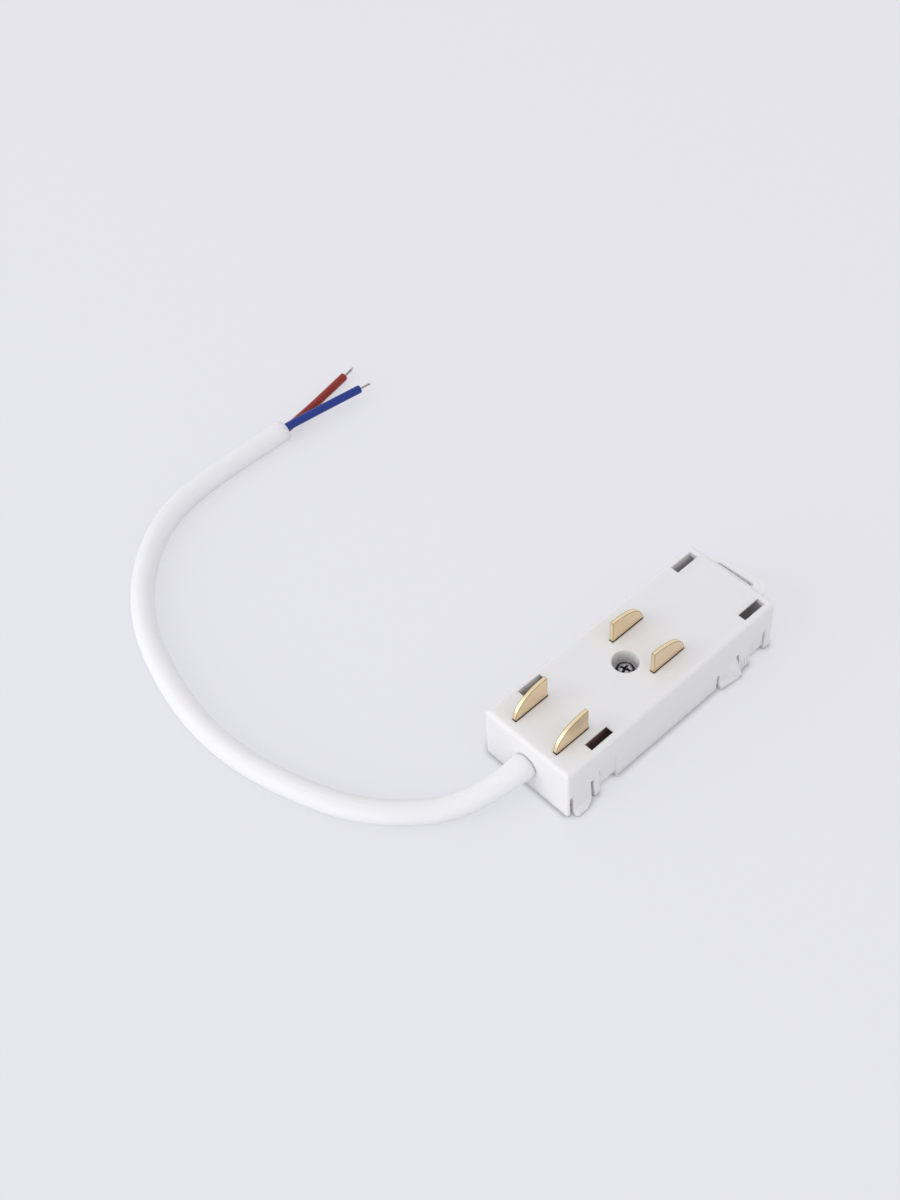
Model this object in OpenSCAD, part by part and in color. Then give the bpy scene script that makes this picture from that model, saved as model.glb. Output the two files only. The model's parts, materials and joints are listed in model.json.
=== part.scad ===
// Power feed for a lighting track: a white moulded housing with four contact blades,
// a base cover, two stamped contact strips and a two-core lead with bared ends.
// Lengths run along X from the cable end, Y is across the track and Z is up.

/* [Housing] */
// Length of the housing along the track
body_l = 64.4; // [62.8:0.2:76]
// Width of the housing across the track
body_w = 24.2; // [23.6:0.2:28]
// Height from the base to the contact face
body_h = 14.4; // [14:0.2:17]
// Thickness of the long side walls
side_wall = 1.4; // [1.1:0.1:1.5]
// Thickness of the two end walls
end_wall = 1; // [0.8:0.1:1.2]
// Thickness of the wall under the contact face
top_wall = 1.6; // [1.2:0.1:2]
// Radius of the four upright corners
corner_r = 0.6; // [0.3:0.1:1.5]
// Radius of the edges round the contact face
edge_r = 1; // [0.3:0.1:1.2]

/* [Contact strips] */
// Thickness of the stamped strip and its blades
strip_t = 0.9; // [0.7:0.05:1]
// Width of the strip's flat web
strip_w = 2.2; // [1.9:0.1:2.4]
// Distance between the mid planes of the two rows of blades
blade_gap = 11.8; // [11.4:0.1:12.6]
// Length of one blade along the track
blade_l = 9.3; // [8:0.1:10]
// Height of a blade above the contact face
blade_h = 6; // [4:0.2:8]
// Distance from the cable end to the first blade
near_blade_x = 2.6; // [2:0.1:3.4]
// Distance from the cable end to the second blade
far_blade_x = 31.8; // [31:0.2:36]
// Clearance round a blade in its slot
slot_gap = 0.15; // [0.05:0.05:0.3]

/* [Windows] */
// Length of a core-out window in the contact face
window_l = 6.5; // [5:0.1:7]
// Width of a window
window_w = 2.1; // [1.6:0.1:2.3]
// Distance from the cable end to the near windows
near_window_x = 8.4; // [8.2:0.1:10]
// Distance from the far end to the far windows
far_window_gap = 1.9; // [1.6:0.1:3]
// Thickness of the face at a window's inner edge
window_lip = 0.5; // [0.4:0.1:0.9]

/* [Side tongues] */
// Height of the slits that free the near tongue
slit_h = 5.9; // [4.6:0.1:6.6]
// Width of the slits beside a tongue
slit_w = 0.8; // [0.4:0.05:0.9]
// Width of the fine slits beside a notch
fine_slit_w = 0.45; // [0.3:0.05:0.6]
// Outward reach of a tongue's barb
tongue_reach = 1.5; // [1:0.1:2.2]
// Thickness of a tongue
tongue_t = 0.9; // [0.7:0.1:1.1]
// Height of the barb's sloping top
barb_h = 1.8; // [1:0.1:2.4]
// Distance from the cable end to the near tongue
near_tongue_x = 1.5; // [1.4:0.1:1.7]
// Length of the near tongue
near_tongue_l = 5.3; // [4:0.1:5.3]
// Distance from the far end to the far tongue
far_tongue_gap = 11.9; // [11.5:0.1:14]
// Length of the far tongue
far_tongue_l = 5.4; // [4:0.1:6]
// Height of the notch under each window
notch_h = 1.8; // [1:0.1:2.2]
// Length of the notch
notch_l = 4.8; // [4:0.1:5]
// Depth of the shallow panel over the notch
panel_d = 0.3; // [0.15:0.05:0.4]

/* [End latch] */
// Reach of the sprung arm beyond the far end
latch_reach = 3; // [2.4:0.1:3.4]
// Thickness of the sprung arm at its tip
latch_t = 1; // [0.7:0.1:1.2]
// Height of the sprung arm
latch_h = 3.2; // [2:0.2:5]

/* [Cover screw] */
// Distance from the cable end to the screw
screw_x = 29.9; // [29:0.1:30.4]
// Diameter of the well over the screw head
well_d = 6.1; // [5.6:0.1:6.4]
// Depth of the screw head's top below the contact face
screw_sink = 2.3; // [1:0.1:3]
// Diameter of the screw head
screw_head_d = 4.6; // [4.2:0.1:5]
// Height of the screw head
screw_head_h = 1.7; // [1.4:0.1:2]
// Diameter of the screw's shank
screw_d = 2.6; // [2.2:0.1:2.9]
// Length of the shank under the head
screw_l = 7.5; // [6:0.5:8]

/* [Base cover] */
// Thickness of the cover plate
cover_t = 1.4; // [1:0.1:1.6]
// Thickness of a snap arm
arm_t = 1; // [0.8:0.1:1.2]
// Overlap of a snap hook on its ledge
hook = 0.6; // [0.4:0.05:0.7]
// Thickness of the plate that holds the strips up
retainer_t = 1.4; // [1:0.1:1.6]

/* [Lead] */
// Outer diameter of the sheath
cord_d = 5.5; // [5:0.1:5.6]
// Outer diameter of one insulated core
core_d = 2.1; // [1.6:0.05:2.1]
// Diameter of the twisted strands in a core
strand_d = 0.55; // [0.4:0.05:0.8]
// Length of the blue core's bared strands at the free end
bare_l = 3.2; // [2:0.2:8]
// Length of the brown core's bared strands at the free end
brown_bare_l = 3.8; // [2:0.2:8]
// Height of the lead's axis where it enters the housing
cord_z = 7.2; // [7:0.1:7.4]

/* [Cord clamp] */
// Distance from the cable end to the middle of the clamp
clamp_x = 17; // [16.5:0.1:17.5]
// Width of the clamp bar along the lead
clamp_w = 4.6; // [4:0.1:5]
// Thickness of the clamp bar
clamp_t = 1.5; // [1.2:0.1:1.7]
// Diameter of a clamp screw's shank
clamp_screw_d = 1.8; // [1.5:0.1:2]

/* [Fits] */
// Clearance between parts that slide together on assembly
fit = 0.1; // [0.05:0.01:0.2]
// Radial clearance of a screw in the hole that it cuts its thread in
thread_gap = 0.02; // [0.01:0.01:0.05]

/* [Hidden] */

$fn = 48;
tiny = 0.01;
over = 1;

white = [0.93, 0.93, 0.94];
inner_white = [0.86, 0.86, 0.87];
phenolic = [0.30, 0.17, 0.13];
gold = [0.83, 0.68, 0.38];
steel = [0.62, 0.63, 0.65];
tin = [0.72, 0.72, 0.70];
blue = [0.13, 0.22, 0.58];
brown = [0.55, 0.17, 0.13];
sleeve_black = [0.08, 0.08, 0.09];

// The housing, its barbs and its latch stand centred on the origin
cable_end_x = -(body_l + latch_reach) / 2;
half_w = body_w / 2;
half_in = half_w - side_wall;
ceiling_z = body_h - top_wall;
inner_end_x = body_l - end_wall;

// Contact strips: the web lies against the ceiling, the blades stand on its inner edge
blade_y = (blade_gap - strip_t) / 2;
strip_z = ceiling_z - strip_t;
strip_x = near_blade_x;
strip_end_x = far_blade_x + blade_l;
strip_out_y = blade_y + strip_w;
bend_r = 0.2;
relief = 0.3;
tab_drop = 4.2;
wire_drop = 3.15;
wire_y = blade_y + strip_w / 2;
wire_z = strip_z - wire_drop;
slot_lead = 0.25;
blade_fill = 0.87;

// Retainer: two rails under the strips and a web round the screw boss
retainer_z = strip_z - retainer_t;
rail_w = 1.9;
rail_y = strip_out_y - rail_w;
rail_x = near_blade_x + 0.6;
rail_end_x = strip_end_x - 0.4;
web_x = 24.5;
web_end_x = 38.5;
boss_gap = 0.2;

// Upstand on the rail beside the strip's outer edge, below the near window
upstand_t = 0.7;
upstand_drop = 1.2;
upstand_x = near_window_x - 1.5;
upstand_end_x = near_window_x + window_l + 3;

// Screw boss: a well from the contact face, with a floor that the head seats on
boss_wall = 1.25;
boss_r = well_d / 2 + boss_wall;
boss_floor = 1.6;
screw_seat_z = body_h - screw_sink - screw_head_h;
boss_z = screw_seat_z - boss_floor;
screw_hole_r = screw_d / 2 + 0.25;
cover_boss_r = 3.2;
screw_tip_z = screw_seat_z - screw_l;
head_dome_r = 4.2;
recess_w = 0.6;
recess_l = 2.6;
recess_deep = 0.9;

// Snap ledges on the side walls and the cover arms that hook over them
ledge_inset = 0.2;
ledge_z = 2.6;
ledge_h = 1.2;
ledge_reach = 0.7;
arm_out_y = half_in - ledge_reach - fit;
arm_side_gap = 0.3;
hook_h = 1.3;

// Cover posts under the retainer
post_w = 1.6;
post_y = rail_y + rail_w / 2;
near_post_x = rail_x + 1.4;
mid_post_x = 22.5;
prop_x = 35.5;
prop_l = 3;
prop_w = 1.6;

// Hollow behind a window's inner edge
window_relief = 1;

// Slits, ribbed tabs and notches under the windows
wall_cut_y = half_in;
notch_lead = 1.3;
notch_slit_rise = 1.5;
far_slit_drop = 1.3;
far_slit_rise = 0.3;
panel_h = 7.4;
tab_reach = 0.4;
tab_h = 7.2;
tab_foot = 0.3;
rib_pitch = 0.85;
rib_gap = 0.25;
rib_deep = 0.2;
tongue_lean = 0.3;
lip_z = 0.35;
lip_corner = 0.5;
near_barb_end = 0.3;
far_barb_start = 0.75;
far_foot_h = 1.5;
far_ramp_l = 2.6;
far_overhang = 0.6;
rib_count = 2;

// Sprung bow at the far end: joined to the wall at both ends, with a slot behind it
latch_start_y = 6.2;
latch_slot_y = 4.7;
latch_slot_end_y = -5.3;
latch_crest_y = -6.4;
latch_end_y = -8.6;
latch_slot_w = 0.5;
latch_top_gap = 0.3;

// Cord entry, clamp and its two screws
cord_r = cord_d / 2;
cord_hole_gap = 0.03;
cord_sides = 12;
cord_flat = cord_r * cos(180 / cord_sides);
clamp_post_r = 1.65;
clamp_post_y = blade_y + relief - fit - clamp_post_r + 0.3;
clamp_top_z = cord_z - cord_flat;
clamp_screw_l = 5;
clamp_head_d = 3.2;
clamp_head_h = 1.1;
saddle_l = 3.6;
saddle_w = 4.6;

// Route of the lead's axis from its inner end out over the floor, in this frame,
// with X counted from the cable end
sheath_in_x = 20.5;
lead_route = [
    [sheath_in_x, 0, cord_z],
    [10, 0, cord_z],
    [1, 0, cord_z],
    [-4, 0.5, cord_z - 0.7],
    [-8.5, 1.7, cord_z - 2],
    [-13, 3.5, 4],
    [-17, 5.8, 3.1],
    [-20.5, 8.3, 2.75],
    [-26.5, 14, 2.75],
    [-31.5, 21, 2.75],
    [-35.2, 29.5, 2.75],
    [-38, 38.5, 2.75],
    [-39.8, 48, 2.75],
    [-40.2, 57.5, 2.75],
    [-39.2, 67, 2.75],
    [-37, 76.5, 2.75],
    [-33.8, 86, 2.75],
    [-29, 95, 2.75],
    [-22.5, 103, 2.75],
    [-14.5, 109.5, 2.75],
    [-5.5, 113.8, 2.75],
    [4, 115.6, 2.75],
    [13.5, 116, 2.75],
    [22.5, 115.9, 2.75],
    [30.7, 115.7, 2.75],
];
// Each core runs beside the axis by this much, and the pair turns by an angle along the lead
core_side = 1.06;
pair_turn = -60;
core_sides = 8;
core_r = core_d / 2;
strand_r = strand_d / 2;
strand_gap = 0.06;
bore_r = 2.2;
core_in_x = strip_end_x - 2.2;
// Way of a core from its terminal to the sheath, as X, share of the spread and share of the rise
core_way = [[0, 1, 1], [4, 1, 1], [8, 0.98, 0.9], [10.6, 0.9, 0.7], [12.8, 0.7, 0.4], [14.7, 0.4, 0.15], [16.6, 0.13, 0]];
// Way of each core beyond the sheath, from its own axis there
blue_tail = [[6, -0.6, -0.1], [12, -1.25, -0.3], [17.5, -1.85, -0.5], [22.6, -2.45, -0.65]];
brown_tail = [[6, 0.75, -0.1], [12, 1.8, -0.25], [17.9, 3, -0.4], [23.9, 4.25, -0.55]];

// Sleeves over the joints and the solder
sleeve_l = 6.7;
sleeve_wall = 0.35;
sleeve_x = strip_end_x - strip_t - sleeve_l;
solder_r = 0.9;
solder_tip_r = 0.6;
solder_l = 0.9;

// A box from its lowest to its highest corner
module block(lo, hi) {
    translate(lo) cube(hi - lo);
}

// A profile of (y, z) extruded along X
module along_x(x0, x1) {
    translate([x0, 0, 0]) rotate([90, 0, 90]) linear_extrude(x1 - x0) children();
}

// A profile of (x, z) extruded along Y
module along_y(y0, y1) {
    translate([0, y1, 0]) rotate([90, 0, 0]) linear_extrude(y1 - y0) children();
}

// A cylinder along X
module rod_x(x0, x1, r) {
    translate([x0, 0, 0]) rotate([0, 90, 0]) cylinder(h = x1 - x0, r = r);
}

// A cylinder along Z
module rod_z(z0, z1, r) {
    translate([0, 0, z0]) cylinder(h = z1 - z0, r = r);
}

module both_sides() {
    children();
    mirror([0, 1, 0]) children();
}

// A piece drawn with X from the cable end, set in the part's frame
module placed() {
    translate([cable_end_x, 0, 0]) children();
}

// A rectangle with four round corners, from [x0, y0] to [x1, y1]
module rounded_plan(x0, x1, y0, y1, r) {
    translate([x0 + r, y0]) square([x1 - x0 - 2 * r, y1 - y0]);
    translate([x0, y0 + r]) square([x1 - x0, y1 - y0 - 2 * r]);
    for (x = [x0 + r, x1 - r]) {
        for (y = [y0 + r, y1 - r]) translate([x, y]) circle(r);
    }
}

// A rectangle on the base line with its two upper corners round
module rounded_top(u0, u1, h, r) {
    translate([u0, 0]) square([u1 - u0, h - r]);
    translate([u0 + r, 0]) square([u1 - u0 - 2 * r, h]);
    for (u = [u0 + r, u1 - r]) translate([u, h - r]) circle(r);
}

// Outer form of the housing
module housing_block() {
    intersection() {
        linear_extrude(body_h) rounded_plan(0, body_l, -half_w, half_w, corner_r);
        along_x(0, body_l) rounded_top(-half_w, half_w, body_h, edge_r);
        along_y(-half_w, half_w) rounded_top(0, body_l, body_h, edge_r);
    }
}

// X of the two windows on each side
function window_starts() = [near_window_x, body_l - far_window_gap - window_l];

function notch_x(window) = window + notch_lead;

// Window and the hollow behind its inner edge, which thins the face to a lip
module window(x, behind_end) {
    block([x, half_in - window_w, ceiling_z - over], [x + window_l, half_in, body_h + over]);
    block([x, half_in - window_w - window_relief, ceiling_z - over],
        [x + window_l + behind_end, half_in, body_h - window_lip]);
}

function far_tongue_x() = body_l - far_tongue_gap - far_tongue_l;

// Slot that a blade stands through
module blade_slot(x) {
    block([x - slot_gap, blade_y - slot_gap, strip_z],
        [x + blade_l + slot_lead, blade_y + strip_t + slot_gap, body_h + over]);
}

// Cut through the side wall, open at the base
module wall_slit(x, w, h) {
    block([x, wall_cut_y, -over], [x + w, half_w + over, h]);
}

// Opening in the wall that leaves a slit on each side of a tongue
module tongue_gap(x, l, h) {
    wall_slit(x - slit_w, l + 2 * slit_w, h);
}

// Cross-section of a tongue: it leans out a little and ends in a sloping barb
module tongue_section(h) {
    polygon([
        [half_w - tongue_t, h + tiny],
        [half_w, h + tiny],
        [half_w, h],
        [half_w + tongue_lean, barb_h],
        [half_w + tongue_reach, lip_z],
        [half_w + tongue_reach, 0],
        [half_w + tongue_lean - tongue_t, 0],
        [half_w + tongue_lean - tongue_t, barb_h],
        [half_w - tongue_t, h],
    ]);
}

// Plan of the near tongue: full reach first, rounded off towards its other end
module near_tongue_plan() {
    x = near_tongue_x;
    polygon([
        [x, wall_cut_y],
        [x, half_w + tongue_reach - lip_corner],
        [x + lip_corner, half_w + tongue_reach],
        [x + 0.55 * near_tongue_l, half_w + tongue_reach],
        [x + 0.85 * near_tongue_l, half_w + (tongue_reach + near_barb_end) / 2],
        [x + near_tongue_l, half_w + near_barb_end],
        [x + near_tongue_l, wall_cut_y],
    ]);
}

// Outer side of a barb that starts at the wall face, h above the base
module barb_section(h) {
    polygon([
        [half_w - over / 2, h],
        [half_w, h],
        [half_w + tongue_reach, lip_z],
        [half_w + tongue_reach, 0],
        [half_w - over / 2, 0],
    ]);
}

// Plan of the far tongue's foot: its rim leans out towards the far end
module far_foot_plan(x) {
    polygon([
        [x, half_w - over / 2],
        [x, half_w + far_barb_start],
        [x + far_tongue_l, half_w + tongue_reach],
        [x + far_tongue_l, half_w - over / 2],
    ]);
}

// Plan of the far tongue's ramp, which swings out over the slit beside it
module far_ramp_plan(x) {
    end = x + far_tongue_l;
    polygon([
        [end - far_ramp_l, half_w - over / 2],
        [end - far_ramp_l, half_w],
        [end + far_overhang, half_w + tongue_reach],
        [end + far_overhang, half_w + tongue_reach - far_overhang],
        [end, half_w],
        [end, half_w - over / 2],
    ]);
}

module near_tongue() {
    intersection() {
        along_x(near_tongue_x, near_tongue_x + near_tongue_l) tongue_section(slit_h);
        linear_extrude(body_h) near_tongue_plan();
    }
}

// Barb of the far tongue, on the part of the wall between its two slits
module far_tongue() {
    x = far_tongue_x();
    intersection() {
        along_x(x, x + far_tongue_l) barb_section(far_foot_h);
        linear_extrude(body_h) far_foot_plan(x);
    }
    intersection() {
        along_x(x, x + far_tongue_l + far_overhang) barb_section(slit_h);
        linear_extrude(body_h) far_ramp_plan(x);
    }
}

// Ribbed tab between a tongue's slit and the fine slit of the notch beside it
module tab(x0, x1) {
    ribs = floor((x1 - x0) / rib_pitch);
    pitch = (x1 - x0 + rib_gap) / ribs;
    difference() {
        along_x(x0, x1) polygon([
            [half_w - tiny, tab_h],
            [half_w, tab_h],
            [half_w + tab_reach, 1.2],
            [half_w + tab_reach, tab_foot],
            [half_w, 0],
            [half_w - tiny, 0],
        ]);
        if (ribs > rib_count) for (i = [ribs - rib_count:ribs - 1]) {
            block([x0 + i * pitch - rib_gap, half_w + tab_reach - rib_deep, -over],
                [x0 + i * pitch, half_w + over, tab_h]);
        }
    }
}

// Shallow panel under a window, with a notch at its foot
module notch(x) {
    block([x, half_w - panel_d, -over], [x + notch_l, half_w + over, panel_h]);
    wall_slit(x, notch_l, notch_h);
}

// Bow that springs out from the far end wall, thicker towards its crest
module end_latch() {
    translate([body_l, 0, body_h - latch_top_gap - latch_h]) linear_extrude(latch_h) difference() {
        polygon([
            [-end_wall / 2, latch_start_y],
            [0, latch_start_y],
            [latch_slot_w + latch_t / 2, latch_slot_y + 0.4],
            [latch_slot_w + latch_t, latch_slot_y - 0.6],
            [latch_reach, latch_crest_y + 0.6],
            [latch_reach, latch_crest_y],
            [latch_reach - 0.6, latch_crest_y - 0.8],
            [0.4, latch_end_y],
            [-end_wall / 2, latch_end_y],
        ]);
        polygon([
            [0, latch_slot_y],
            [latch_slot_w, latch_slot_y - 0.8],
            [latch_slot_w + 0.5, latch_slot_end_y + 0.6],
            [latch_slot_w, latch_slot_end_y],
            [0, latch_slot_end_y],
        ]);
    }
}

// Post under the ceiling with a pilot hole for a clamp screw
module clamp_post() {
    translate([clamp_x, clamp_post_y, 0]) difference() {
        rod_z(clamp_top_z, ceiling_z + tiny, clamp_post_r);
        rod_z(clamp_top_z - over, clamp_top_z + clamp_screw_l - clamp_t + 0.4, clamp_screw_d / 2 + thread_gap);
    }
}

// Every cut and piece of the side wall that goes with the near window and the far window
module side_cuts() {
    near = notch_x(window_starts()[0]);
    far = notch_x(window_starts()[1]);
    tongue_gap(near_tongue_x, near_tongue_l, slit_h);
    wall_slit(far_tongue_x() - slit_w, slit_w, slit_h - far_slit_drop);
    wall_slit(far_tongue_x() + far_tongue_l, slit_w, slit_h + far_slit_rise);
    for (x = [near, far]) {
        notch(x);
        wall_slit(x - fine_slit_w, fine_slit_w, slit_h + notch_slit_rise);
    }
    wall_slit(far + notch_l - fine_slit_w, fine_slit_w, slit_h);
}

module side_pieces() {
    near_tongue();
    far_tongue();
    tab(near_tongue_x + near_tongue_l + slit_w, notch_x(window_starts()[0]) - fine_slit_w);
    tab(far_tongue_x() + far_tongue_l + slit_w, notch_x(window_starts()[1]) - fine_slit_w);
    for (x = window_starts()) {
        along_x(notch_x(x) + ledge_inset, notch_x(x) + notch_l - fine_slit_w - ledge_inset) polygon([
            [half_in + tiny, ledge_z],
            [half_in, ledge_z],
            [half_in - ledge_reach, ledge_z + 0.5],
            [half_in - ledge_reach, ledge_z + ledge_h],
            [half_in + tiny, ledge_z + ledge_h],
        ]);
    }
}

// Housing: a box open below, with the contact slots, windows, screw well, tongues and latch
module housing() {
    color(white) placed() difference() {
        union() {
            difference() {
                housing_block();
                block([end_wall, -half_in, -over], [inner_end_x, half_in, ceiling_z]);
                both_sides() {
                    side_cuts();
                    window(window_starts()[0], window_relief);
                    window(window_starts()[1], 0);
                    for (x = [near_blade_x, far_blade_x]) blade_slot(x);
                }
            }
            translate([screw_x, 0, 0]) rod_z(boss_z, body_h - edge_r, boss_r);
            both_sides() {
                side_pieces();
                clamp_post();
            }
            block([clamp_x - saddle_l / 2, -saddle_w / 2, cord_z + cord_flat],
                [clamp_x + saddle_l / 2, saddle_w / 2, ceiling_z + tiny]);
            end_latch();
        }
        translate([screw_x, 0, 0]) {
            rod_z(screw_seat_z, body_h + over, well_d / 2);
            rod_z(boss_z - over, body_h, screw_hole_r);
        }
        translate([0, 0, cord_z]) rod_x(-over, end_wall + over, cord_r + cord_hole_gap);
    }
}

// Snap arm of the cover, hooked over the ledge under a window
module snap_arm(x) {
    top = ledge_z + ledge_h + fit + hook_h;
    start = notch_x(x) + ledge_inset + arm_side_gap;
    end = notch_x(x) + notch_l - fine_slit_w - ledge_inset - arm_side_gap;
    along_x(start, end) polygon([
        [arm_out_y - arm_t, cover_t - tiny],
        [arm_out_y, cover_t - tiny],
        [arm_out_y, ledge_z + ledge_h + fit],
        [arm_out_y + hook, ledge_z + ledge_h + fit],
        [arm_out_y, top],
        [arm_out_y - arm_t, top],
    ]);
}

// Base cover: a plate with snap arms, the screw's boss and posts that press the retainer up
module base_cover() {
    color(inner_white) placed() difference() {
        union() {
            block([end_wall + fit, -half_in + fit, 0], [inner_end_x - fit, half_in - fit, cover_t]);
            translate([screw_x, 0, 0]) rod_z(cover_t - tiny, boss_z, cover_boss_r);
            both_sides() {
                for (x = window_starts()) snap_arm(x);
                for (x = [near_post_x, mid_post_x]) {
                    block([x - post_w / 2, post_y - post_w / 2, cover_t - tiny],
                        [x + post_w / 2, post_y + post_w / 2, retainer_z]);
                }
            }
            block([prop_x, -prop_w / 2, cover_t - tiny], [prop_x + prop_l, prop_w / 2, retainer_z]);
        }
        translate([screw_x, 0, 0]) rod_z(screw_tip_z - 0.4, boss_z + over, screw_d / 2 + thread_gap);
    }
}

// Pan-head screw with a cross recess, from its seat down
module pan_screw(head_d, head_h, shank_d, shank_l) {
    difference() {
        intersection() {
            cylinder(h = head_h, d = head_d);
            translate([0, 0, head_h - head_dome_r]) sphere(head_dome_r);
        }
        for (a = [0, 90]) rotate([0, 0, a]) {
            translate([-recess_l / 2, -recess_w / 2, head_h - recess_deep]) cube([recess_l, recess_w, over]);
        }
    }
    translate([0, 0, -shank_l]) cylinder(h = shank_l + tiny, d = shank_d);
}

module cover_screw() {
    color(steel) placed() translate([screw_x, 0, screw_seat_z]) {
        pan_screw(screw_head_d, screw_head_h, screw_d, screw_l);
    }
}

// Side outline of a blade: its outer end is a quarter of an ellipse, filled out a little
// by the exponent blade_fill, and its inner end is upright
module blade_outline(x, rises) {
    steps = 16;
    arc = [for (i = [0:steps]) let (a = 90 * i / steps) [1 - pow(cos(a), blade_fill), pow(sin(a), blade_fill)]];
    outline = concat([[0, -1]], [for (p = arc) p], [[1, -1]]);
    polygon([for (p = outline) [
        rises ? x + p[0] * blade_l : x + (1 - p[0]) * blade_l,
        p[1] < 0 ? strip_z : body_h + p[1] * blade_h,
    ]]);
}

// Contact strip of the left side: a web under the ceiling, two upright blades on its inner
// edge and a tab bent down at its end for the lead
module contact_strip() {
    difference() {
        union() {
            intersection() {
                along_x(strip_x, strip_end_x) {
                    translate([blade_y + bend_r, strip_z]) square([strip_w - bend_r, strip_t]);
                    translate([blade_y, strip_z + bend_r]) square([strip_t, body_h + blade_h - strip_z]);
                    translate([blade_y + bend_r, strip_z + bend_r]) circle(bend_r);
                }
                along_y(0, half_w) {
                    translate([strip_x, strip_z]) square([strip_end_x - strip_x, strip_t]);
                    blade_outline(near_blade_x, true);
                    blade_outline(far_blade_x, false);
                }
            }
            block([strip_end_x - strip_t, blade_y, strip_z - tab_drop],
                [strip_end_x, strip_out_y, strip_z + tiny]);
        }
        block([near_blade_x + blade_l, blade_y - over, strip_z - over],
            [far_blade_x, blade_y + strip_t + relief, body_h]);
        translate([0, wire_y, wire_z]) rod_x(strip_end_x - strip_t - over, strip_end_x + over, strand_r + strand_gap);
    }
}

module left_contact_strip() {
    color(gold) placed() contact_strip();
}

module right_contact_strip() {
    color(gold) placed() mirror([0, 1, 0]) contact_strip();
}

// Retainer: two rails under the strips, each with an upstand beside the strip's edge,
// joined by a web round the screw boss; each rail is notched beside a clamp post
module contact_retainer() {
    color(phenolic) placed() difference() {
        union() {
            both_sides() {
                block([rail_x, rail_y, retainer_z], [rail_end_x - strip_t, strip_out_y, strip_z]);
                block([upstand_x, strip_out_y - tiny, retainer_z],
                    [upstand_end_x, strip_out_y + fit + upstand_t, strip_z - tiny]);
                block([upstand_x, strip_out_y + fit, retainer_z - upstand_drop],
                    [upstand_end_x, strip_out_y + fit + upstand_t, ceiling_z - fit]);
            }
            block([web_x, -rail_y - tiny, retainer_z], [web_end_x, rail_y + tiny, strip_z]);
        }
        translate([screw_x, 0, 0]) rod_z(retainer_z - over, strip_z + over, boss_r + boss_gap);
        both_sides() block([clamp_x - clamp_post_r, rail_y - over, retainer_z - over],
            [clamp_x + clamp_post_r, clamp_post_y + clamp_post_r + fit, strip_z + over]);
    }
}

// Clamp bar with round ends, under the sheath
module cord_clamp() {
    end_r = clamp_w / 2;
    color(inner_white) placed() translate([clamp_x, 0, 0]) difference() {
        union() {
            block([-end_r, -clamp_post_y, clamp_top_z - clamp_t], [end_r, clamp_post_y, clamp_top_z]);
            both_sides() translate([0, clamp_post_y, 0]) rod_z(clamp_top_z - clamp_t, clamp_top_z, end_r);
        }
        both_sides() translate([0, clamp_post_y, 0]) {
            rod_z(clamp_top_z - clamp_t - over, clamp_top_z + over, clamp_screw_d / 2 + fit);
        }
    }
}

// Clamp screw of the left side, driven up from below
module clamp_screw() {
    translate([clamp_x, clamp_post_y, clamp_top_z - clamp_t]) {
        difference() {
            translate([0, 0, -clamp_head_h]) cylinder(h = clamp_head_h, d = clamp_head_d);
            for (a = [0, 90]) rotate([0, 0, a]) {
                translate([-0.9, -0.2, -clamp_head_h - over]) cube([1.8, 0.4, over + 0.6]);
            }
        }
        cylinder(h = clamp_screw_l, d = clamp_screw_d);
    }
}

module left_clamp_screw() {
    color(steel) placed() clamp_screw();
}

module right_clamp_screw() {
    color(steel) placed() mirror([0, 1, 0]) clamp_screw();
}

// Solder on the far face of the left strip's tab
module solder_joint() {
    translate([strip_end_x, wire_y, wire_z]) rotate([0, 90, 0]) difference() {
        cylinder(h = solder_l, r1 = solder_r, r2 = solder_tip_r);
        translate([0, 0, -over]) cylinder(h = solder_l + 2 * over, r = strand_r + strand_gap);
    }
}

module left_solder_joint() {
    color(tin) placed() solder_joint();
}

module right_solder_joint() {
    color(tin) placed() mirror([0, 1, 0]) solder_joint();
}

// Shrunk sleeve over the end of the left core
module wire_sleeve() {
    translate([0, wire_y, wire_z]) difference() {
        rod_x(sleeve_x, sleeve_x + sleeve_l, core_r + fit / 2 + sleeve_wall);
        rod_x(sleeve_x - over, sleeve_x + sleeve_l + over, core_r + fit / 2);
    }
}

module left_wire_sleeve() {
    color(sleeve_black) placed() wire_sleeve();
}

module right_wire_sleeve() {
    color(sleeve_black) placed() mirror([0, 1, 0]) wire_sleeve();
}

function unit(v) = v / norm(v);

// Direction of a route at each of its points
function directions(p) = [for (i = [0:len(p) - 1])
    unit(p[min(i + 1, len(p) - 1)] - p[max(i - 1, 0)])];

function side_of(t) = unit(cross([0, 0, 1], t));

// Direction from the lead's axis to the left core at a point of the route
function pair_side(i) = let (
    a = pair_turn * i / (len(lead_route) - 1),
    t = lead_t[i]
) cos(a) * side_of(t) + sin(a) * cross(t, side_of(t));

// Corners of one ring about c, square to t
function ring(c, t, r, n) = [for (k = [0:n - 1])
    let (a = 360 * (k + 0.5) / n, s = side_of(t))
    c + r * cos(a) * s + r * sin(a) * cross(t, s)];

function rings(p, t, r, n) = [for (i = [0:len(p) - 1]) each ring(p[i], t[i], r, n)];

// Faces between consecutive rings that start at the given corner
function skin(count, n, first, outward) = [for (i = [0:count - 2], k = [0:n - 1])
    let (a = first + i * n + k, b = first + i * n + (k + 1) % n)
    outward ? [a, b, b + n, a + n] : [a, a + n, b + n, b]];

// Solid cord of round section along a route
module cord_solid(p, t, r, n) {
    last = (len(p) - 1) * n;
    polyhedron(rings(p, t, r, n), concat(
        skin(len(p), n, 0, true),
        [[for (k = [n - 1:-1:0]) k]],
        [[for (k = [0:n - 1]) last + k]]
    ));
}

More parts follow.
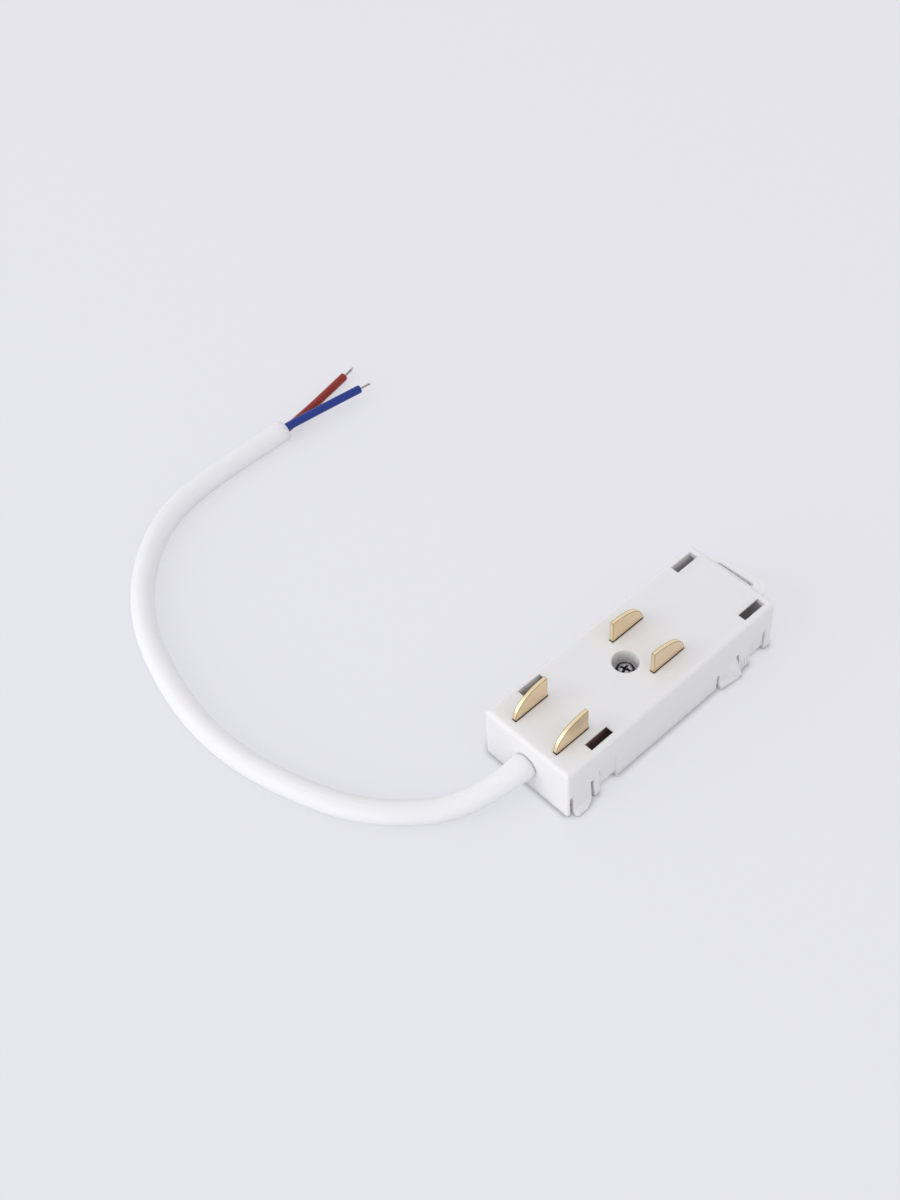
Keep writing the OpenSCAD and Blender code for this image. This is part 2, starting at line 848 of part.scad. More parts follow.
// Hollow cord of round section along a route
module cord_tube(p, t, r_out, r_in, n) {
    total = len(p) * n;
    last = (len(p) - 1) * n;
    polyhedron(concat(rings(p, t, r_out, n), rings(p, t, r_in, n)), concat(
        skin(len(p), n, 0, true),
        skin(len(p), n, total, false),
        [for (k = [0:n - 1]) let (j = (k + 1) % n) [k, total + k, total + j, j]],
        [for (k = [0:n - 1]) let (j = (k + 1) % n) [last + k, last + j, total + last + j, total + last + k]]
    ));
}

lead_t = directions(lead_route);

// Axis of a core: from its terminal to the sheath, along the sheath and out of it.
// side is 1 for the core on the left of the free end, which ends at the right strip
function core_axis(side, tail) = let (
    start = [sheath_in_x, -side * core_side, cord_z],
    stop = lead_route[len(lead_route) - 1] + side * core_side * pair_side(len(lead_route) - 1)
) concat(
    [for (w = core_way) [
        core_in_x - w[0],
        -side * (core_side + w[1] * (wire_y - core_side)),
        start[2] + w[2] * (wire_z - start[2]),
    ]],
    [for (i = [0:len(lead_route) - 1]) lead_route[i] + side * core_side * pair_side(i)],
    [for (w = tail) stop + w]
);

// Directions along a core, the same as the sheath's where it lies in the sheath
function core_directions(p) = let (own = directions(p), first = len(core_way), count = len(lead_route))
    [for (i = [0:len(p) - 1]) i >= first && i < first + count ? lead_t[i - first] : own[i]];

// Insulation of one core, hollow over its strands
module core(side, tail) {
    p = core_axis(side, tail);
    cord_tube(p, core_directions(p), core_r, strand_r + strand_gap, core_sides);
}

// Strands of one core, from the solder to the bared tip
module strands(side, tail, bare) {
    p = core_axis(side, tail);
    t = core_directions(p);
    first = [strip_end_x + solder_l - 0.2, p[0][1], p[0][2]];
    tip = p[len(p) - 1] + bare * t[len(p) - 1];
    cord_solid(concat([first], p, [tip]), concat([t[0]], t, [t[len(t) - 1]]), strand_r, core_sides);
}

module lead_sheath() {
    color(white) placed() cord_tube(lead_route, lead_t, cord_r, bore_r, cord_sides);
}

module blue_core() {
    color(blue) placed() core(-1, blue_tail);
}

module brown_core() {
    color(brown) placed() core(1, brown_tail);
}

module blue_strands() {
    color(tin) placed() strands(-1, blue_tail, bare_l);
}

module brown_strands() {
    color(tin) placed() strands(1, brown_tail, brown_bare_l);
}

housing();
base_cover();
cover_screw();
left_contact_strip();
right_contact_strip();
contact_retainer();
cord_clamp();
left_clamp_screw();
right_clamp_screw();
left_solder_joint();
right_solder_joint();
left_wire_sleeve();
right_wire_sleeve();
lead_sheath();
blue_core();
brown_core();
blue_strands();
brown_strands();
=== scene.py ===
import json
import math
import random

import bmesh
import bpy
from mathutils import Matrix, Vector

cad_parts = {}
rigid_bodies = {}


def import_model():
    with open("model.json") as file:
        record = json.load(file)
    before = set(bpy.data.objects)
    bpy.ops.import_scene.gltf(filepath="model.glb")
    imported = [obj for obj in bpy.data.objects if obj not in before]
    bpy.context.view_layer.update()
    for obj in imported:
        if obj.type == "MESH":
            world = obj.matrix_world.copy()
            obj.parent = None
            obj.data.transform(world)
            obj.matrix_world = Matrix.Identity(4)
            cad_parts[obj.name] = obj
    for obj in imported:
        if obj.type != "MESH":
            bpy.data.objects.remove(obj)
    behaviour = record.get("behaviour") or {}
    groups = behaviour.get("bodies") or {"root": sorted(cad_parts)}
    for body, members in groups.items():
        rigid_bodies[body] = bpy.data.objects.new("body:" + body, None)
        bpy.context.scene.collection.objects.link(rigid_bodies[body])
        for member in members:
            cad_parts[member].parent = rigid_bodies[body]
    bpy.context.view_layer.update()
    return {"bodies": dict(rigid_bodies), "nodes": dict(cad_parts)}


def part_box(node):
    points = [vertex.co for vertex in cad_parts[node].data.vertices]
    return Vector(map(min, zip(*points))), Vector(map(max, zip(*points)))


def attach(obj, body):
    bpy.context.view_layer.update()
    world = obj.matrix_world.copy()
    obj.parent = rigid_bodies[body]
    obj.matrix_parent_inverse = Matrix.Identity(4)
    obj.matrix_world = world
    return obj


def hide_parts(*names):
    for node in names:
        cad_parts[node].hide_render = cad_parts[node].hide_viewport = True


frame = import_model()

bl_info = {
    "name": "Track light power feed",
    "version": (1, 0, 0),
    "blender": (4, 5, 0),
    "location": "View3D > Sidebar > Power feed",
    "description": "Lead, screws and finishes of a track light power feed, with its stage",
    "category": "Object",
}

MM = 0.001
# The housing's cable end, from which every length along the track is counted
CABLE_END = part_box("housing")[0][0]
NODES = frame["nodes"]
BODY = next(iter(frame["bodies"]))
# Faces that meet at more than this keep a crisp edge between them
CRISP_EDGE = math.radians(42)


def at(x, y, z):
    """A point given in millimetres from the cable end, in the row frame in metres."""
    return Vector((CABLE_END + x * MM, y * MM, z * MM))


def linear(hexadecimal):
    """An sRGB colour written as six hex digits, in linear light."""
    parts = [int(hexadecimal[i:i + 2], 16) / 255 for i in (0, 2, 4)]
    return tuple(p / 12.92 if p <= 0.04045 else ((p + 0.055) / 1.055) ** 2.4 for p in parts)


# The sheath's axis from the clamp inside the housing to its cut end
CORD_Z = 7.2
LEAD_ROUTE = [
    (20.5, 0, CORD_Z), (10, 0, CORD_Z), (1, 0, CORD_Z), (-4, 0.5, CORD_Z - 0.7), (-8.5, 1.7, CORD_Z - 2),
    (-13, 3.5, 4), (-17, 5.8, 3.1), (-20.5, 8.3, 2.75), (-26.5, 14, 2.75), (-31.5, 21, 2.75),
    (-35.2, 29.5, 2.75), (-38, 38.5, 2.75), (-39.8, 48, 2.75), (-40.2, 57.5, 2.75), (-39.2, 67, 2.75),
    (-37, 76.5, 2.75), (-33.8, 86, 2.75), (-29, 95, 2.75), (-22.5, 103, 2.75), (-14.5, 109.5, 2.75),
    (-5.5, 113.8, 2.75), (4, 115.6, 2.75), (13.5, 116, 2.75), (22.5, 115.9, 2.75), (30.7, 115.7, 2.75),
]
# A core runs this far beside the sheath's axis, and the pair turns by so many degrees along the lead
CORE_SIDE = 1.06
PAIR_TURN = -60
# A core's way from its terminal to the sheath: X back from the terminal, share of spread, share of rise
CORE_WAY = [(0, 1, 1), (4, 1, 1), (8, 0.98, 0.9), (10.6, 0.9, 0.7), (12.8, 0.7, 0.4), (14.7, 0.4, 0.15),
            (16.6, 0.13, 0)]
TAILS = {
    "blue": [(6, -0.6, -0.1), (12, -1.25, -0.3), (17.5, -1.85, -0.5), (22.6, -2.45, -0.65)],
    "brown": [(6, 0.75, -0.1), (12, 1.8, -0.25), (17.9, 3, -0.4), (23.9, 4.25, -0.55)],
}
# The terminal's hole in a strip's tab, from the strip's own place
STRIP_END = (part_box("left_contact_strip")[1][0] - CABLE_END) / MM
WIRE_Y = 6.55
WIRE_Z = 8.75
# A core's insulation stops this far before the far face of the tab, and its strands stand this far out of it
TERMINAL_BARE = 2.2
TERMINAL_TIP = 0.7


def directions(points):
    """The direction of a route at each of its points."""
    last = len(points) - 1
    return [(points[min(i + 1, last)] - points[max(i - 1, 0)]).normalized() for i in range(last + 1)]


def core_points(colour):
    """A core's axis from its terminal, through the sheath and out to its free end, in millimetres."""
    side = 1 if colour == "brown" else -1
    lead = [Vector(p) for p in LEAD_ROUTE]
    along = directions(lead)
    inside = []
    for i, (point, way) in enumerate(zip(lead, along)):
        level = Vector((0, 0, 1)).cross(way).normalized()
        turn = math.radians(PAIR_TURN * i / (len(lead) - 1))
        outward = math.cos(turn) * level + math.sin(turn) * way.cross(level)
        inside.append(point + side * CORE_SIDE * outward)
    terminal = [
        Vector((STRIP_END - TERMINAL_BARE - back, -side * (CORE_SIDE + spread * (WIRE_Y - CORE_SIDE)),
                CORD_Z + rise * (WIRE_Z - CORD_Z)))
        for back, spread, rise in CORE_WAY
    ]
    return terminal + inside + [inside[-1] + Vector(step) for step in TAILS[colour]]


def smooth_path(points, spacing):
    """Points in millimetres, joined by a smooth curve in steps of a third of the spacing or less.

    The result is in the row frame in metres.
    """
    ends = [2 * points[0] - points[1]] + list(points) + [2 * points[-1] - points[-2]]
    fine = []
    for a, b, c, d in zip(ends, ends[1:], ends[2:], ends[3:]):
        steps = max(2, math.ceil((c - b).length / spacing * 3))
        for k in range(steps):
            t = k / steps
            fine.append(0.5 * (2 * b + (c - a) * t + (2 * a - 5 * b + 4 * c - d) * t * t
                               + (3 * b - 3 * c + d - a) * t ** 3))
    fine.append(Vector(points[-1]))
    return [at(*p) for p in fine]


class Course:
    """A path with its length and a frame that doesn't twist, for setting rings along it."""

    def __init__(self, path):
        self.path = path
        self.arc = [0.0]
        for a, b in zip(path, path[1:]):
            self.arc.append(self.arc[-1] + (b - a).length)
        self.length = self.arc[-1]
        self.ways = directions(path)
        side = Vector((0, 0, 1)).cross(self.ways[0]).normalized()
        self.sides = []
        for way in self.ways:
            side = (side - side.dot(way) * way).normalized()
            self.sides.append(side)

    def frame_at(self, distance):
        """The point at a distance along the path, and the directions to its side and its top."""
        distance = min(max(distance, 0.0), self.length)
        low = 0
        high = len(self.arc) - 1
        while high - low > 1:
            middle = (low + high) // 2
            if self.arc[middle] <= distance:
                low = middle
            else:
                high = middle
        share = (distance - self.arc[low]) / max(self.arc[high] - self.arc[low], 1e-12)
        point = self.path[low].lerp(self.path[high], share)
        way = self.ways[low].lerp(self.ways[high], share).normalized()
        side = self.sides[low].lerp(self.sides[high], share)
        side = (side - side.dot(way) * way).normalized()
        return point, side, way.cross(side)


def new_object(name, builder, material):
    """An object from a bmesh, shaded smooth except across crisp edges."""
    mesh = bpy.data.meshes.new(name)
    bmesh.ops.recalc_face_normals(builder, faces=builder.faces)
    for face in builder.faces:
        face.smooth = True
    for edge in builder.edges:
        if len(edge.link_faces) == 2 and edge.calc_face_angle(0) > CRISP_EDGE:
            edge.smooth = False
    builder.to_mesh(mesh)
    builder.free()
    made = bpy.data.objects.new(name, mesh)
    bpy.context.collection.objects.link(made)
    mesh.materials.append(material)
    return made


def loft(builder, course, stations, sides):
    """Rings of given radius at given distances along a course, joined into a closed skin.

    Its UV map runs along the course and round it, in metres.
    """
    uv = builder.loops.layers.uv.verify()
    rings = []
    run = 0.0
    runs = []
    for i, (distance, radius) in enumerate(stations):
        point, side, top = course.frame_at(distance)
        if i:
            run += math.hypot(distance - stations[i - 1][0], radius - stations[i - 1][1])
        runs.append(run)
        rings.append([
            builder.verts.new(point + radius * (math.cos(a) * side + math.sin(a) * top))
            for a in (2 * math.pi * k / sides for k in range(sides))
        ])
    widest = max(radius for _, radius in stations)
    for i, (ring, following) in enumerate(zip(rings, rings[1:])):
        for k in range(sides):
            j = (k + 1) % sides
            face = builder.faces.new((ring[k], ring[j], following[j], following[k]))
            around = [k, k + 1, k + 1, k]
            along = [runs[i], runs[i], runs[i + 1], runs[i + 1]]
            for loop, a, u in zip(face.loops, around, along):
                loop[uv].uv = (u, 2 * math.pi * widest * a / sides)
    for ring in (rings[0], rings[-1]):
        builder.faces.new(ring)


def lathe(builder, profile, sides, reach):
    """A closed body turned about the upright axis; reach changes a radius by height and angle."""
    rings = []
    for radius, height in profile:
        ring = []
        for k in range(sides):
            angle = 2 * math.pi * k / sides
            r = reach(radius, height, angle)
            ring.append(builder.verts.new((r * math.cos(angle), r * math.sin(angle), height)))
        rings.append(ring)
    for ring, following in zip(rings, rings[1:]):
        for k in range(sides):
            j = (k + 1) % sides
            builder.faces.new((ring[k], ring[j], following[j], following[k]))
    builder.faces.new(rings[0])
    builder.faces.new(rings[-1])


def cut_with(target, cutter):
    """Cuts the cutter's shape out of the target and removes the cutter."""
    change = target.modifiers.new("cut", "BOOLEAN")
    change.operation = "DIFFERENCE"
    change.solver = "EXACT"
    change.object = cutter
    evaluated = target.evaluated_get(bpy.context.evaluated_depsgraph_get())
    cut = bpy.data.meshes.new_from_object(evaluated)
    target.modifiers.remove(change)
    target.data = cut
    bpy.data.objects.remove(cutter)


def add(tree, kind, inputs=(), **settings):
    """Adds a node with its settings, its values and its links, and returns it."""
    node = tree.nodes.new(kind)
    for name, value in settings.items():
        setattr(node, name, value)
    for socket, value in dict(inputs).items():
        if isinstance(value, bpy.types.NodeSocket):
            tree.links.new(value, node.inputs[socket])
        else:
            node.inputs[socket].default_value = value
    return node


def blank_material(name):
    """An empty node material, and its tree."""
    material = bpy.data.materials.new(name)
    material.use_nodes = True
    tree = material.node_tree
    tree.nodes.clear()
    return material, tree


def moulded_plastic(name, colour, roughness, gloss_level, grain_mm, grain_depth_mm, edge_mm,
                    depth_mm=0.0, milky=0.5):
    """Moulded or pressed plastic with a fine grain and softly rounded edges.

    A share of the light, milky, enters it to about depth_mm. That lifts thin walls and the inside of
    the windows.
    """
    material, tree = blank_material(name)
    where = add(tree, "ShaderNodeTexCoord")
    # The tone drifts a little over about 14 mm
    drift = add(tree, "ShaderNodeTexNoise", {
        "Vector": where.outputs["Object"], "Scale": 1 / (14 * MM), "Detail": 2})
    tone = add(tree, "ShaderNodeMix", {
        "Factor": drift.outputs["Fac"],
        "A": (*(c * 0.975 for c in colour), 1),
        "B": (*colour, 1),
    }, data_type="RGBA")
    # The grain of a moulding is near 0.1 mm, and is drawn coarser so that it shows
    grain = add(tree, "ShaderNodeTexNoise", {
        "Vector": where.outputs["Object"], "Scale": 1 / (grain_mm * MM), "Detail": 3, "Roughness": 0.6})
    gloss = add(tree, "ShaderNodeMapRange", {
        "Value": grain.outputs["Fac"], "To Min": roughness - 0.06, "To Max": roughness + 0.06})
    rounded = add(tree, "ShaderNodeBevel", {"Radius": edge_mm * MM}, samples=6)
    relief = add(tree, "ShaderNodeBump", {
        "Height": grain.outputs["Fac"], "Strength": 0.35, "Distance": grain_depth_mm * MM,
        "Normal": rounded.outputs["Normal"]})
    shader = add(tree, "ShaderNodeBsdfPrincipled", {
        "Base Color": tone.outputs["Result"], "Roughness": gloss.outputs["Result"],
        "IOR": 1.5, "Specular IOR Level": gloss_level, "Normal": relief.outputs["Normal"],
        "Subsurface Weight": milky if depth_mm else 0.0, "Subsurface Radius": (1.0, 0.93, 0.9),
        "Subsurface Scale": depth_mm * MM})
    add(tree, "ShaderNodeOutputMaterial", {"Surface": shader.outputs["BSDF"]})
    return material


def extruded_pvc(name, colour, roughness, gloss_level, streak_mm, depth_mm=0.0):
    """Extruded PVC: fine streaks run along it, and its gloss wavers slowly.

    Light enters it to about depth_mm, so that a white sheath has no hard shaded side.
    """
    material, tree = blank_material(name)
    where = add(tree, "ShaderNodeTexCoord")
    # Streaks lie round the lead, streak_mm wide, and stay the same for about 40 mm. Real ones are finer,
    # and these are drawn as coarse as they need to show
    along = add(tree, "ShaderNodeMapping", {
        "Vector": where.outputs["UV"], "Scale": (1 / (40 * MM), 1 / (streak_mm * MM), 1)})
    streaks = add(tree, "ShaderNodeTexNoise", {"Vector": along.outputs["Vector"], "Scale": 1, "Detail": 2})
    # The haul-off changes the gloss over about 9 mm
    waves = add(tree, "ShaderNodeTexNoise", {
        "Vector": where.outputs["Object"], "Scale": 1 / (9 * MM), "Detail": 1})
    tone = add(tree, "ShaderNodeMix", {
        "Factor": streaks.outputs["Fac"],
        "A": (*(c * 0.93 for c in colour), 1),
        "B": (*colour, 1),
    }, data_type="RGBA")
    gloss = add(tree, "ShaderNodeMapRange", {
        "Value": waves.outputs["Fac"], "To Min": roughness - 0.05, "To Max": roughness + 0.07})
    relief = add(tree, "ShaderNodeBump", {
        "Height": streaks.outputs["Fac"], "Strength": 0.25, "Distance": 0.03 * MM})
    shader = add(tree, "ShaderNodeBsdfPrincipled", {
        "Base Color": tone.outputs["Result"], "Roughness": gloss.outputs["Result"],
        "IOR": 1.53, "Specular IOR Level": gloss_level, "Normal": relief.outputs["Normal"],
        "Subsurface Weight": 1.0 if depth_mm else 0.0, "Subsurface Radius": (1.0, 0.97, 0.95),
        "Subsurface Scale": depth_mm * MM})
    add(tree, "ShaderNodeOutputMaterial", {"Surface": shader.outputs["BSDF"]})
    return material


def plated_metal(name, colour, shade, roughness, brush_mm, edge_mm, nook_mm=0.0):
    """Plated metal: fine lines of the stock run along X and show through the plating.

    Painted shade darkens hollows up to about nook_mm across.
    """
    material, tree = blank_material(name)
    where = add(tree, "ShaderNodeTexCoord")
    # The lines are finer in the real stock, and are drawn brush_mm wide so that they show
    along = add(tree, "ShaderNodeMapping", {
        "Vector": where.outputs["Object"],
        "Scale": (1 / (6 * MM), 1 / (brush_mm * MM), 1 / (brush_mm * MM))})
    lines = add(tree, "ShaderNodeTexNoise", {"Vector": along.outputs["Vector"], "Scale": 1, "Detail": 3})
    # The plating is a little cloudy, in patches of about 2.5 mm
    cloud = add(tree, "ShaderNodeTexNoise", {
        "Vector": where.outputs["Object"], "Scale": 1 / (2.5 * MM), "Detail": 2})
    tone = add(tree, "ShaderNodeMix", {
        "Factor": cloud.outputs["Fac"], "A": (*shade, 1), "B": (*colour, 1)}, data_type="RGBA")
    surface = tone.outputs["Result"]
    if nook_mm:
        # Painted shade: the colour darkens in hollows that see little of their surroundings
        nook = add(tree, "ShaderNodeAmbientOcclusion", {"Distance": nook_mm * MM}, samples=8)
        painted_shade_factor = add(tree, "ShaderNodeMapRange", {
            "Value": nook.outputs["AO"], "From Min": 0.62, "From Max": 0.98, "To Min": 0.08})
        painted_shade_tone = add(tree, "ShaderNodeVectorMath", {
            0: surface, "Scale": painted_shade_factor.outputs["Result"]}, operation="SCALE")
        surface = painted_shade_tone.outputs["Vector"]
    gloss = add(tree, "ShaderNodeMapRange", {
        "Value": lines.outputs["Fac"], "To Min": roughness - 0.08, "To Max": roughness + 0.1})
    rounded = add(tree, "ShaderNodeBevel", {"Radius": edge_mm * MM}, samples=6)
    relief = add(tree, "ShaderNodeBump", {
        "Height": lines.outputs["Fac"], "Strength": 0.3, "Distance": 0.012 * MM,
        "Normal": rounded.outputs["Normal"]})
    shader = add(tree, "ShaderNodeBsdfPrincipled", {
        "Base Color": surface, "Metallic": 1.0, "Roughness": gloss.outputs["Result"],
        "Normal": relief.outputs["Normal"]})
    add(tree, "ShaderNodeOutputMaterial", {"Surface": shader.outputs["BSDF"]})
    return material


def stamped_plating(name, face, rim, painted_edge_shade, bare, roughness, brush_mm, edge_mm, painted_shade_below):
    """Plated strip: rolled faces with fine lines, and rims that the shear left smooth and bright.

    Each edge has a thin line of painted shade, and below the height painted_shade_below the strip is painted
    dark brown as shade in the housing's slots.
    """
    material, tree = blank_material(name)
    where = add(tree, "ShaderNodeTexCoord")
    shape = add(tree, "ShaderNodeNewGeometry")
    facing = add(tree, "ShaderNodeSeparateXYZ", {"Vector": shape.outputs["True Normal"]})
    across = add(tree, "ShaderNodeMath", {0: facing.outputs["Y"]}, operation="ABSOLUTE")
    is_rim = add(tree, "ShaderNodeMapRange", {
        "Value": across.outputs["Value"], "From Min": 0.9, "From Max": 0.6})
    # Rolling lines run along the strip, in X. Real ones are finer, and these are drawn so that they show
    along = add(tree, "ShaderNodeMapping", {
        "Vector": where.outputs["Object"],
        "Scale": (1 / (6 * MM), 1 / (brush_mm * MM), 1 / (brush_mm * MM))})
    lines = add(tree, "ShaderNodeTexNoise", {"Vector": along.outputs["Vector"], "Scale": 1, "Detail": 3})
    # The plating is a little cloudy, in patches of about 2.5 mm
    cloud = add(tree, "ShaderNodeTexNoise", {
        "Vector": where.outputs["Object"], "Scale": 1 / (2.5 * MM), "Detail": 2})
    faces = add(tree, "ShaderNodeMix", {
        "Factor": cloud.outputs["Fac"],
        "A": (*(c * 0.86 for c in face), 1),
        "B": (*face, 1),
    }, data_type="RGBA")
    plated = add(tree, "ShaderNodeMix", {
        "Factor": is_rim.outputs["Result"], "A": faces.outputs["Result"], "B": (*rim, 1)}, data_type="RGBA")
    rounded = add(tree, "ShaderNodeBevel", {"Radius": edge_mm * MM}, samples=8)
    # Where the rounded normal leaves the flat one, there is an edge, and there the colour darkens to painted
    # shade
    turned = add(tree, "ShaderNodeVectorMath", {
        0: rounded.outputs["Normal"], 1: shape.outputs["True Normal"]}, operation="DOT_PRODUCT")
    is_edge = add(tree, "ShaderNodeMapRange", {
        "Value": turned.outputs["Value"], "From Min": 0.993, "From Max": 0.95})
    edged = add(tree, "ShaderNodeMix", {
        "Factor": is_edge.outputs["Result"], "A": plated.outputs["Result"], "B": (*painted_edge_shade, 1),
    }, data_type="RGBA")
    place = add(tree, "ShaderNodeSeparateXYZ", {"Vector": where.outputs["Object"]})
    # Painted shade: below this height the strip takes a dark brown, as the shade in the housing's slots
    painted_slot_shade = add(tree, "ShaderNodeMapRange", {
        "Value": place.outputs["Z"], "From Min": painted_shade_below + 0.1 * MM, "From Max": painted_shade_below - 0.1 * MM})
    tone = add(tree, "ShaderNodeMix", {
        "Factor": painted_slot_shade.outputs["Result"], "A": edged.outputs["Result"], "B": (*bare, 1)}, data_type="RGBA")
    gloss = add(tree, "ShaderNodeMapRange", {
        "Value": lines.outputs["Fac"], "To Min": roughness - 0.08, "To Max": roughness + 0.1})
    relief = add(tree, "ShaderNodeBump", {
        "Height": lines.outputs["Fac"], "Strength": 0.3, "Distance": 0.012 * MM,
        "Normal": rounded.outputs["Normal"]})
    shader = add(tree, "ShaderNodeBsdfPrincipled", {
        "Base Color": tone.outputs["Result"], "Metallic": 1.0, "Roughness": gloss.outputs["Result"],
        "Normal": relief.outputs["Normal"]})
    add(tree, "ShaderNodeOutputMaterial", {"Surface": shader.outputs["BSDF"]})
    return material


def seamless_paper(name, colour, painted_cool_light, glow, glow_share):
    """Matt backdrop paper, with a painted cooler light on the lead's side.

    Part of what the camera and the gloss see of it is its own even tone, so that shadows stay light.
    Well away from the object it is that tone alone, and meets the room's tone without a line.
    """
    material, tree = blank_material(name)
    where = add(tree, "ShaderNodeTexCoord")
    split = add(tree, "ShaderNodeSeparateXYZ", {"Vector": where.outputs["Object"]})
    # Painted light: towards the lead's side the paper turns cooler
    side = add(tree, "ShaderNodeMapRange", {
        "Value": split.outputs["X"], "From Min": -120 * MM, "From Max": 50 * MM,
        "To Min": 1.0, "To Max": 0.0})
    tone = add(tree, "ShaderNodeMix", {
        "Factor": side.outputs["Result"], "A": (*colour, 1), "B": (*painted_cool_light, 1)}, data_type="RGBA")
    # Paper fibres are far finer, and are drawn 0.8 mm across so that they show
    fibres = add(tree, "ShaderNodeTexNoise", {
        "Vector": where.outputs["Object"], "Scale": 1 / (0.8 * MM), "Detail": 3})
    relief = add(tree, "ShaderNodeBump", {
        "Height": fibres.outputs["Fac"], "Strength": 0.1, "Distance": 0.02 * MM})
    # Painted shade: right at the foot of the housing's walls the paper and its even tone darken where the
    # paper sees little of the room
    nook = add(tree, "ShaderNodeAmbientOcclusion", {"Distance": 1.6 * MM}, samples=8)
    past_end = add(tree, "ShaderNodeMapRange", {
        "Value": split.outputs["X"], "From Min": CABLE_END - 6 * MM, "From Max": CABLE_END - 1 * MM})
    past_side = add(tree, "ShaderNodeMapRange", {
        "Value": split.outputs["Y"], "From Min": 40 * MM, "From Max": 30 * MM})
    by_walls = add(tree, "ShaderNodeMath", {
        0: past_end.outputs["Result"], 1: past_side.outputs["Result"]}, operation="MINIMUM")
    darkest = add(tree, "ShaderNodeMapRange", {
        "Value": by_walls.outputs["Value"], "To Min": 1.0, "To Max": 0.45})
    depth = add(tree, "ShaderNodeMapRange", {
        "Value": nook.outputs["AO"], "From Min": 0.4, "From Max": 0.95,
        "To Min": darkest.outputs["Result"], "To Max": 1.0})
    shaded = add(tree, "ShaderNodeVectorMath", {
        0: tone.outputs["Result"], "Scale": depth.outputs["Result"]}, operation="SCALE")
    paper = add(tree, "ShaderNodeBsdfPrincipled", {
        "Base Color": shaded.outputs["Vector"], "Roughness": 0.9, "Specular IOR Level": 0.1,
        "Normal": relief.outputs["Normal"]})
    even = add(tree, "ShaderNodeEmission", {"Color": (*glow, 1), "Strength": depth.outputs["Result"]})
    rays = add(tree, "ShaderNodeLightPath")
    seen = add(tree, "ShaderNodeMath", {
        0: rays.outputs["Is Camera Ray"], 1: rays.outputs["Is Glossy Ray"]}, operation="MAXIMUM")
    shows = add(tree, "ShaderNodeMath", {
        0: seen.outputs["Value"], 1: rays.outputs["Is Transmission Ray"]}, operation="MAXIMUM")
    # Between these distances from the object the even tone takes over
    reach = add(tree, "ShaderNodeVectorMath", {0: where.outputs["Object"]}, operation="LENGTH")
    evenness = add(tree, "ShaderNodeMapRange", {
        "Value": reach.outputs["Value"], "From Min": 350 * MM, "From Max": 800 * MM,
        "To Min": glow_share, "To Max": 1.0})
    share = add(tree, "ShaderNodeMath", {
        0: shows.outputs["Value"], 1: evenness.outputs["Result"]}, operation="MULTIPLY")
    both = add(tree, "ShaderNodeMixShader", {
        "Fac": share.outputs["Value"], 1: paper.outputs["BSDF"], 2: even.outputs["Emission"]})
    add(tree, "ShaderNodeOutputMaterial", {"Surface": both.outputs["Shader"]})
    return material


def dress(node, material):
    """Gives a CAD node its finish."""
    shown = NODES[node]
    if not shown.material_slots:
        shown.data.materials.append(material)
    for place in shown.material_slots:
        place.material = material


class FeedFinishes(bpy.types.PropertyGroup):
    """Colours of the feed's pieces."""

    housing: bpy.props.FloatVectorProperty(
        name="Housing", description="Satin white polycarbonate of the housing", subtype="COLOR",
        size=3, min=0, max=1, default=linear("EFEFEF"))
    inner: bpy.props.FloatVectorProperty(
        name="Inner mouldings", description="Matt white nylon of the cover and the clamp bar",
        subtype="COLOR", size=3, min=0, max=1, default=linear("F4E8E8"))
    gold: bpy.props.FloatVectorProperty(
        name="Contacts", description="Gold plating of the contact strips", subtype="COLOR",
        size=3, min=0, max=1, default=linear("FBE6C4"))
    gold_rim: bpy.props.FloatVectorProperty(
        name="Contact rims", description="Gold plating on the sheared rims", subtype="COLOR",
        size=3, min=0, max=1, default=linear("F6E6BC"))
    laminate: bpy.props.FloatVectorProperty(
        name="Retainer", description="Brown paper laminate of the contact retainer", subtype="COLOR",
        size=3, min=0, max=1, default=linear("76565B"))
    steel: bpy.props.FloatVectorProperty(
        name="Screws", description="Bright zinc plating of the screws", subtype="COLOR",
        size=3, min=0, max=1, default=linear("E8E9EA"))
    sheath: bpy.props.FloatVectorProperty(
        name="Sheath", description="White PVC of the lead's sheath", subtype="COLOR",
        size=3, min=0, max=1, default=linear("F1F1F3"))
    blue: bpy.props.FloatVectorProperty(
        name="Blue core", description="Blue PVC insulation", subtype="COLOR",
        size=3, min=0, max=1, default=linear("123289"))
    brown: bpy.props.FloatVectorProperty(
        name="Brown core", description="Red-brown PVC insulation", subtype="COLOR",
        size=3, min=0, max=1, default=linear("932A1B"))
    copper: bpy.props.FloatVectorProperty(
        name="Strands", description="Tinned copper strands", subtype="COLOR",
        size=3, min=0, max=1, default=linear("C4BAB2"))


class FeedLead(bpy.types.PropertyGroup):
    """Sizes of the lead."""

    sheath_diameter: bpy.props.FloatProperty(
        name="Sheath diameter", description="Outer diameter of the sheath", unit="LENGTH",
        min=0.004, max=0.007, default=5.5 * MM)
    core_diameter: bpy.props.FloatProperty(
        name="Core diameter", description="Outer diameter of one insulated core", unit="LENGTH",
        min=0.001, max=0.0022, default=2.1 * MM)
    strand_diameter: bpy.props.FloatProperty(
        name="Conductor diameter", description="Diameter of the twisted strands together", unit="LENGTH",
        min=0.0003, max=0.001, default=0.55 * MM)
    blue_bare_length: bpy.props.FloatProperty(
        name="Blue bare length", description="Length of the blue core's bared strands", unit="LENGTH",
        min=0.001, max=0.01, default=3.2 * MM)
    brown_bare_length: bpy.props.FloatProperty(
        name="Brown bare length", description="Length of the brown core's bared strands", unit="LENGTH",
        min=0.001, max=0.01, default=3.8 * MM)


